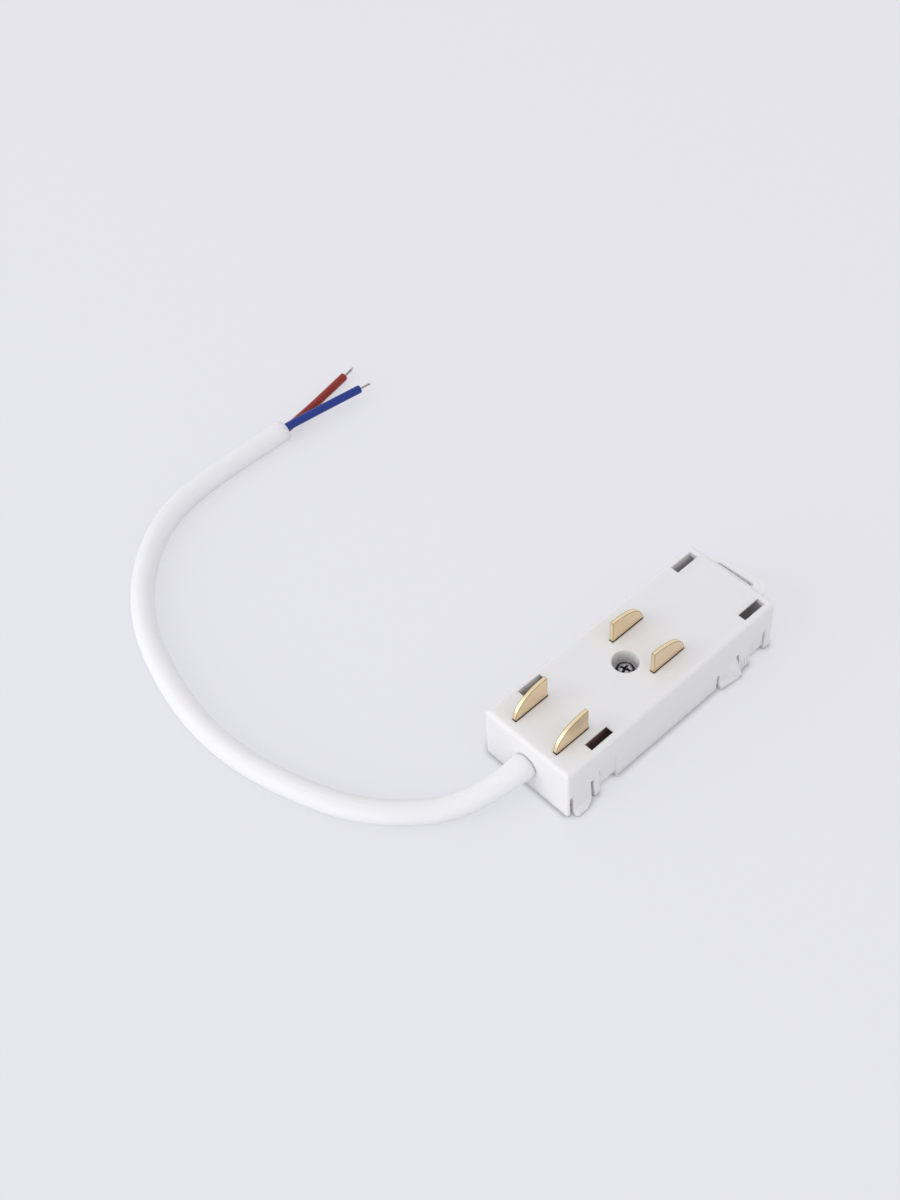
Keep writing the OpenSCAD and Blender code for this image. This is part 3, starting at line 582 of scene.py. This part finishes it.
class FeedStage(bpy.types.PropertyGroup):
    """Backdrop paper, lamps and room light."""

    floor: bpy.props.FloatVectorProperty(
        name="Floor", description="Colour of the backdrop paper", subtype="COLOR",
        size=3, min=0, max=1, default=linear("ECECF1"))
    floor_painted_cool_light: bpy.props.FloatVectorProperty(
        name="Floor by the lead", description="Colour of the paper on the lead's side", subtype="COLOR",
        size=3, min=0, max=1, default=linear("EBECF2"))
    floor_glow: bpy.props.FloatVectorProperty(
        name="Floor tone", description="Even tone of the paper as it is seen", subtype="COLOR",
        size=3, min=0, max=1, default=linear("E8E7EE"))
    window_light: bpy.props.FloatProperty(
        name="Window light", description="Power of the large lamp on the cable end's side", unit="POWER",
        min=0, max=50, default=10.8)
    side_light: bpy.props.FloatProperty(
        name="Side light", description="Power of the soft lamp over the right side", unit="POWER",
        min=0, max=50, default=1.2)
    room_light: bpy.props.FloatProperty(
        name="Room light", description="Strength of the even light of the room", min=0, max=2, default=0.76)


# The camera's place and directions, worked out from the edges of the body in the photograph
CAMERA_PLACE = at(-146.645, -153.576, 317.651)
CAMERA_RIGHT = Vector((0.72485, -0.6872, -0.04852))
CAMERA_UP = Vector((0.55246, 0.53776, 0.63687))
CAMERA_FORWARD = Vector((0.41156, 0.48843, -0.76945))
CAMERA_LENS = 54
CAMERA_SENSOR_HEIGHT = 36
# The floor's half width, the share of its even tone, and how far it lies under the feed
FLOOR_REACH = 2.5
FLOOR_EVEN_SHARE = 0.7
FLOOR_DROP = 0.02 * MM
# The lamps face the middle of the feed and its lead, from this far
LAMP_TARGET = at(30, 20, 0)
LAMP_DISTANCE = 1.6


class FEED_OT_stage(bpy.types.Operator):
    """Set up the camera at the photograph's angle, the floor, the lamps and the room light."""

    bl_idname = "feed.stage"
    bl_label = "Set up the stage"

    def execute(self, context):
        stage = context.scene.feed_stage
        scene = context.scene
        scene.view_settings.view_transform = "Standard"

        lens = bpy.data.cameras.new("camera")
        lens.sensor_fit = "VERTICAL"
        lens.sensor_height = CAMERA_SENSOR_HEIGHT
        lens.lens = CAMERA_LENS
        lens.clip_end = 20
        camera = bpy.data.objects.new("camera", lens)
        camera.matrix_world = Matrix((CAMERA_RIGHT, CAMERA_UP, -CAMERA_FORWARD)).transposed().to_4x4()
        camera.matrix_world.translation = CAMERA_PLACE
        scene.collection.objects.link(camera)
        scene.camera = camera

        floor_mesh = bmesh.new()
        bmesh.ops.create_grid(floor_mesh, x_segments=1, y_segments=1, size=FLOOR_REACH)
        floor = new_object("floor", floor_mesh, seamless_paper(
            "backdrop_paper_matt", stage.floor, stage.floor_painted_cool_light, stage.floor_glow, FLOOR_EVEN_SHARE))
        floor.location.z = -FLOOR_DROP

        for name, direction, power, size in (
            ("window_lamp", Vector((-1.0, 0.25, 0.45)), stage.window_light, 1.5),
            ("side_lamp", Vector((0.1, -1.0, 0.9)), stage.side_light, 1.2),
        ):
            lamp = bpy.data.lights.new(name, "AREA")
            lamp.shape = "SQUARE"
            lamp.size = size
            lamp.energy = power
            lamp.color = (1.0, 0.995, 1.0)
            holder = bpy.data.objects.new(name, lamp)
            holder.location = LAMP_TARGET + direction.normalized() * LAMP_DISTANCE
            holder.rotation_euler = (-direction).to_track_quat("-Z", "Y").to_euler()
            scene.collection.objects.link(holder)

        room = bpy.data.worlds.new("room")
        room.use_nodes = True
        tree = room.node_tree
        tree.nodes.clear()
        # The object is lit by the room's plain light, and what is seen of the room is the paper's even tone
        rays = add(tree, "ShaderNodeLightPath")
        lit = add(tree, "ShaderNodeBackground", {
            "Color": (*linear("FDFCFF"), 1), "Strength": stage.room_light})
        seen = add(tree, "ShaderNodeBackground", {"Color": (*stage.floor_glow, 1), "Strength": 1.0})
        direct = add(tree, "ShaderNodeMath", {
            0: rays.outputs["Is Camera Ray"], 1: rays.outputs["Is Glossy Ray"]}, operation="MAXIMUM")
        shows = add(tree, "ShaderNodeMath", {
            0: direct.outputs["Value"], 1: rays.outputs["Is Transmission Ray"]}, operation="MAXIMUM")
        either = add(tree, "ShaderNodeMixShader", {
            "Fac": shows.outputs["Value"], 1: lit.outputs["Background"], 2: seen.outputs["Background"]})
        add(tree, "ShaderNodeOutputWorld", {"Surface": either.outputs["Shader"]})
        scene.world = room
        return {"FINISHED"}


class FEED_OT_lead_sheath(bpy.types.Operator):
    """Make the white sheath, hollow at its two cut ends."""

    bl_idname = "feed.lead_sheath"
    bl_label = "Make the sheath"

    def execute(self, context):
        radius = context.scene.feed_lead.sheath_diameter / 2
        finish = context.scene.feed_finishes
        course = Course(smooth_path([Vector(p) for p in LEAD_ROUTE], spacing=2.0))
        bore = 2.2 * MM
        deep = 0.5 * MM
        lip = 0.12 * MM
        end = course.length
        stations = [(deep, bore), (0, bore), (0, radius - lip), (lip, radius)]
        # The end wall's hole holds the soft sheath, which swells outside it and eases back over 9 mm
        wall = LEAD_ROUTE[0][0] * MM
        held = radius + 0.025 * MM
        swell = 0.25 * MM
        eases = 9 * MM
        rings_within = 16
        rings_swollen = 12
        stations += [(wall * i / rings_within, held) for i in range(1, rings_within)]
        stations.append((wall, held))
        for i in range(rings_swollen):
            beyond = 0.01 * MM + eases * i / rings_swollen
            stations.append((wall + beyond, radius + swell * (1 - beyond / eases) ** 2))
        free = wall + eases
        ring_spacing = 1.4 * MM
        count = round((end - free) / ring_spacing)
        stations += [(free + (end - free) * i / count, radius) for i in range(count)]
        stations += [(end - lip, radius), (end, radius - lip), (end, bore), (end - deep, bore)]
        skin = bmesh.new()
        loft(skin, course, stations, sides=32)
        # White PVC sheath, extruded: satin, with a soft highlight along it
        material = extruded_pvc("pvc_sheath_white_extruded", finish.sheath, roughness=0.55, gloss_level=0.2,
                                streak_mm=0.5, depth_mm=2.5)
        sheath = new_object("sheath", skin, material)
        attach(sheath, BODY)
        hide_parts("lead_sheath")
        context.scene["feed_sheath_length"] = course.length
        return {"FINISHED"}


class FEED_OT_cores(bpy.types.Operator):
    """Make the two insulated cores with their cut ends."""

    bl_idname = "feed.cores"
    bl_label = "Make the cores"

    def execute(self, context):
        lead = context.scene.feed_lead
        finish = context.scene.feed_finishes
        radius = lead.core_diameter / 2
        hole = lead.strand_diameter / 2 + 0.03 * MM
        deep = 2 * MM
        lip = 0.06 * MM
        ring_spacing = 1.6 * MM
        for colour, tint in (("blue", finish.blue), ("brown", finish.brown)):
            course = Course(smooth_path(core_points(colour), spacing=1.5))
            end = course.length
            stations = [(deep, hole), (0, hole), (0, radius - lip), (lip, radius)]
            count = round(end / ring_spacing)
            stations += [(end * i / count, radius) for i in range(1, count)]
            stations += [(end - lip, radius), (end, radius - lip), (end, hole), (end - deep, hole)]
            skin = bmesh.new()
            loft(skin, course, stations, sides=20)
            # PVC insulation, extruded: smooth satin, evenly coloured through
            material = extruded_pvc(f"pvc_insulation_{colour}_extruded", tint, roughness=0.3,
                                    gloss_level=0.35, streak_mm=0.35)
            core = new_object(f"{colour}_insulation", skin, material)
            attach(core, BODY)
            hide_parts(f"{colour}_core")
        return {"FINISHED"}


class FEED_OT_strands(bpy.types.Operator):
    """Make the bared strands: straight on the blue core, frayed at the tip on the brown one."""

    bl_idname = "feed.strands"
    bl_label = "Make the strands"

    def execute(self, context):
        lead = context.scene.feed_lead
        finish = context.scene.feed_finishes
        # Drawn copper wires, tinned: each catches a thin line of light
        shade = [c * 0.7 for c in finish.copper]
        material = plated_metal("copper_strands_tinned_drawn", finish.copper, shade, roughness=0.35,
                                brush_mm=0.1, edge_mm=0.01)
        for colour, bare, fray, seed in (("blue", lead.blue_bare_length, 0.05, 4),
                                         ("brown", lead.brown_bare_length, 0.55, 9)):
            points = core_points(colour)
            way = (points[-1] - points[-2]).normalized()
            tip = points[-1] + way * bare / MM
            first = Vector((STRIP_END + TERMINAL_TIP, points[0].y, points[0].z))
            course = Course(smooth_path([first] + points + [tip], spacing=1.5))
            skin = bmesh.new()
            self.bundle(skin, course, lead.strand_diameter / 2, bare, fray, random.Random(seed))
            strands = new_object(f"{colour}_wires", skin, material)
            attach(strands, BODY)
            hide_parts(f"{colour}_strands")
        return {"FINISHED"}

    def bundle(self, skin, course, full, bare, fray, pick):
        """Six wires laid in a slow twist round a seventh, over the two bared lengths.

        A real conductor has more and finer wires, and these are drawn as coarse as they need to show.
        """
        wire = full / 3
        twist = 7 * MM
        end = course.length
        inner = 4.5 * MM
        outer = end - bare - 2 * MM
        # Between the two bared lengths one plain conductor, of four fifths the width, runs through
        hidden = outer - inner + 2 * MM
        rings = 120
        plain = [(inner - 1 * MM + hidden * i / rings, full * 0.8) for i in range(rings + 1)]
        loft(skin, course, plain, sides=8)
        for start, stop, loose in ((0, inner, 0.0), (outer, end, fray)):
            for k in range(7):
                wander = pick.uniform(-0.25, 0.25)
                spread = pick.uniform(0.4, 1.0)
                short = pick.uniform(0, 0.25) * loose
                path = []
                steps = 14
                for i in range(steps + 1):
                    share = i / steps
                    distance = start + (stop - start) * share * (1 - short)
                    point, side, top = course.frame_at(distance)
                    angle = 2 * math.pi * (k / 6 + distance / twist) + wander * share
                    reach = 0 if k == 6 else full - wire
                    # The outer half of a loose bundle opens by up to half a millimetre
                    reach += loose * spread * MM * 0.5 * max(0, (share - 0.5) * 2) ** 2
                    path.append(point + reach * (math.cos(angle) * side + math.sin(angle) * top))
                strand = Course(path)
                rings = 16
                even = [(strand.length * i / rings, wire) for i in range(rings + 1)]
                loft(skin, strand, even, sides=7)


class FEED_OT_declare_lead(bpy.types.Operator):
    bl_idname = "feed.declare_lead"
    bl_label = "Declare the lead"

    def execute(self, context):
        return {"FINISHED"}


class FEED_OT_screws(bpy.types.Operator):
    """Make the cover screw and the two clamp screws with threads and cross recesses."""

    bl_idname = "feed.screws"
    bl_label = "Make the screws"

    def execute(self, context):
        finish = context.scene.feed_finishes
        # Steel screw, zinc plated: bright, a little cloudy, with painted shade in its cross and round its rim
        shade = [c * 0.7 for c in finish.steel]
        material = plated_metal("zinc_plated_steel_screw", finish.steel, shade, roughness=0.22,
                                brush_mm=0.12, edge_mm=0.05, nook_mm=2.4)
        low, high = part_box("cover_screw")
        self.screw("cover_screw_threaded", "cover_screw", low, high, head=1.7 * MM, up=1, material=material)
        for side in ("left", "right"):
            low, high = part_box(f"{side}_clamp_screw")
            self.screw(f"{side}_clamp_screw_threaded", f"{side}_clamp_screw", low, high, head=1.1 * MM,
                       up=-1, material=material)
        return {"FINISHED"}

    def screw(self, name, node, low, high, head, up, material):
        """A pan-head screw that fills a node's box, with its head, of a given height, up or down."""
        low = Vector(low)
        high = Vector(high)
        centre = (low + high) / 2
        centre.z = high.z if up > 0 else low.z
        radius = (high.x - low.x) / 2
        # The cover screw is 2.6 mm under a 4.6 mm head, a clamp screw 1.8 mm under a 3.2 mm head
        shank_r = radius * (2.6 / 4.6 if up > 0 else 1.8 / 3.2)
        length = high.z - low.z - head
        root = shank_r * 0.78
        pitch = 0.85 * MM if up > 0 else 0.6 * MM
        rings_to_turn = 9
        half_ridge = 0.24
        smooth_neck = 0.3 * MM
        taper = 1.2 * MM

        def thread(r, height, angle):
            """The shank's radius, with a ridge that winds down it to the narrowing tip."""
            down = -height - head
            if r > shank_r * 1.01 or down < smooth_neck:
                return r
            phase = (down / pitch - angle / (2 * math.pi)) % 1
            ridge = max(0.0, 1 - abs(phase - 0.5) / half_ridge)
            narrow = min(1.0, (length - down) / taper + 0.25)
            return (root + (shank_r - root) * ridge) * narrow

        # The head's outline from its middle over its rim to the shank
        dome = [(0.05 * radius, 0), (0.35 * radius, -0.02 * head), (0.6 * radius, -0.07 * head),
                (0.8 * radius, -0.16 * head), (0.93 * radius, -0.32 * head), (0.99 * radius, -0.55 * head),
                (radius, -0.75 * head), (radius, -0.94 * head), (0.97 * radius, -head), (shank_r, -head)]
        steps = round(length / (pitch / rings_to_turn))
        shank = [(shank_r, -head - length * i / steps) for i in range(1, steps + 1)]
        body = bmesh.new()
        lathe(body, dome + shank + [(0.02 * radius, -head - length)], sides=32, reach=thread)
        made = new_object(name, body, material)

        # Cross recess: four wings that narrow towards the bottom, each with two tips and an inner corner
        cross = bmesh.new()
        rings = []
        # Depth as a share of the head's height, then reach and width of a wing as shares of its radius
        levels = ((-0.2, 0.64, 0.27), (0.0, 0.6, 0.25), (0.45, 0.36, 0.2), (0.62, 0.1, 0.1))
        for depth, reach, width in levels:
            tip = radius * reach
            half = radius * width * 0.5
            corner = radius * width * 0.62
            ring = []
            for quarter in range(4):
                turn = quarter * math.pi / 2
                for x, y in ((tip, -half), (tip, half), (corner, corner)):
                    ring.append(cross.verts.new((
                        x * math.cos(turn) - y * math.sin(turn), x * math.sin(turn) + y * math.cos(turn),
                        -depth * head)))
            rings.append(ring)
        for ring, following in zip(rings, rings[1:]):
            for k in range(len(ring)):
                j = (k + 1) % len(ring)
                cross.faces.new((ring[k], ring[j], following[j], following[k]))
        cross.faces.new(rings[0])
        cross.faces.new(rings[-1])
        cut_with(made, new_object("cross_cutter", cross, material))

        place = Matrix.Translation(centre)
        if up < 0:
            place = place @ Matrix.Rotation(math.pi, 4, "X")
        else:
            # The cover screw's cross stands at this angle in the photograph
            place = place @ Matrix.Rotation(math.radians(14), 4, "Z")
        made.data.transform(place)
        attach(made, BODY)
        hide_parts(node)


class FEED_OT_housing_finish(bpy.types.Operator):
    """Give the housing its moulded white polycarbonate."""

    bl_idname = "feed.housing_finish"
    bl_label = "Finish the housing"

    def execute(self, context):
        finish = context.scene.feed_finishes
        # Polycarbonate, moulded in a fine spark-eroded tool: satin, with soft highlights on its edges
        dress("housing", moulded_plastic(
            "polycarbonate_white_moulded", finish.housing, roughness=0.6, gloss_level=0.25, grain_mm=0.35,
            grain_depth_mm=0.02, edge_mm=0.08, depth_mm=1.2))
        return {"FINISHED"}


class FEED_OT_inner_finish(bpy.types.Operator):
    """Give the cover and the clamp bar their matt nylon, and the retainer its brown laminate."""

    bl_idname = "feed.inner_finish"
    bl_label = "Finish the inner mouldings"

    def execute(self, context):
        finish = context.scene.feed_finishes
        # Glass-filled nylon, moulded: matt and slightly pink
        material = moulded_plastic(
            "nylon_matt_moulded", finish.inner, roughness=0.62, gloss_level=0.4, grain_mm=0.45,
            grain_depth_mm=0.04, edge_mm=0.12, depth_mm=2.5, milky=0.95)
        for node in ("base_cover", "cord_clamp"):
            dress(node, material)
        # Paper laminate, pressed and punched: a dull brown with a faint grain of its fibres
        dress("contact_retainer", moulded_plastic(
            "paper_laminate_pressed", finish.laminate, roughness=0.5, gloss_level=0.4, grain_mm=0.3,
            grain_depth_mm=0.03, edge_mm=0.06))
        return {"FINISHED"}


class FEED_OT_contact_finish(bpy.types.Operator):
    """Give the contact strips their gold plating and the joints their solder."""

    bl_idname = "feed.contact_finish"
    bl_label = "Finish the contacts"

    def execute(self, context):
        finish = context.scene.feed_finishes
        # Brass strip, stamped and gold plated: satin faces, bright rims, painted shade along each edge and
        # dark painted shade where it sits in the housing's slots
        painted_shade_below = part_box("housing")[1][2] + 0.2 * MM
        gold = stamped_plating(
            "gold_plated_brass_stamped", finish.gold, finish.gold_rim, painted_edge_shade=linear("957845"),
            bare=linear("67492F"), roughness=0.42, brush_mm=0.18, edge_mm=0.24, painted_shade_below=painted_shade_below)
        for node in ("left_contact_strip", "right_contact_strip"):
            dress(node, gold)
        # Tin solder, set from the melt: smooth with a cloudy sheen
        solder = plated_metal("tin_solder_smooth", linear("C8C8C4"), linear("A6A6A2"), roughness=0.28,
                              brush_mm=0.6, edge_mm=0.1)
        for node in ("left_solder_joint", "right_solder_joint"):
            dress(node, solder)
        return {"FINISHED"}


class FEED_OT_sleeve_finish(bpy.types.Operator):
    """Give the wire sleeves their shrunk black polyolefin."""

    bl_idname = "feed.sleeve_finish"
    bl_label = "Finish the sleeves"

    def execute(self, context):
        # Polyolefin sleeve, shrunk on with heat: satin black with faint ripples
        material = moulded_plastic(
            "polyolefin_sleeve_shrunk", linear("1C1C1E"), roughness=0.45, gloss_level=0.5, grain_mm=0.6,
            grain_depth_mm=0.05, edge_mm=0.08)
        for node in ("left_wire_sleeve", "right_wire_sleeve"):
            dress(node, material)
        return {"FINISHED"}


OPERATORS = (
    FEED_OT_stage, FEED_OT_lead_sheath, FEED_OT_cores, FEED_OT_strands, FEED_OT_declare_lead,
    FEED_OT_screws, FEED_OT_housing_finish, FEED_OT_inner_finish, FEED_OT_contact_finish,
    FEED_OT_sleeve_finish,
)


class FEED_PT_panel(bpy.types.Panel):
    """Sizes, colours and steps of the power feed."""

    bl_label = "Power feed"
    bl_idname = "FEED_PT_panel"
    bl_space_type = "VIEW_3D"
    bl_region_type = "UI"
    bl_category = "Power feed"

    def draw(self, context):
        layout = self.layout
        for title, group in (("Finishes", context.scene.feed_finishes), ("Lead", context.scene.feed_lead),
                             ("Stage", context.scene.feed_stage)):
            box = layout.box()
            box.label(text=title)
            for name in group.__annotations__:
                box.prop(group, name)
        for operator in OPERATORS:
            layout.operator(operator.bl_idname)


GROUPS = {"feed_finishes": FeedFinishes, "feed_lead": FeedLead, "feed_stage": FeedStage}


def register():
    """Registers the settings, the operators and the panel."""
    for name, group in GROUPS.items():
        bpy.utils.register_class(group)
        setattr(bpy.types.Scene, name, bpy.props.PointerProperty(type=group))
    for made in OPERATORS + (FEED_PT_panel,):
        bpy.utils.register_class(made)


def unregister():
    """Removes what register added."""
    for made in reversed(OPERATORS + (FEED_PT_panel,)):
        bpy.utils.unregister_class(made)
    for name, group in GROUPS.items():
        delattr(bpy.types.Scene, name)
        bpy.utils.unregister_class(group)


def main():
    """Builds the stage, then every piece and finish."""
    register()
    for operator in OPERATORS:
        family, step = operator.bl_idname.split(".")
        getattr(getattr(bpy.ops, family), step)()


if __name__ == "__main__":
    main()
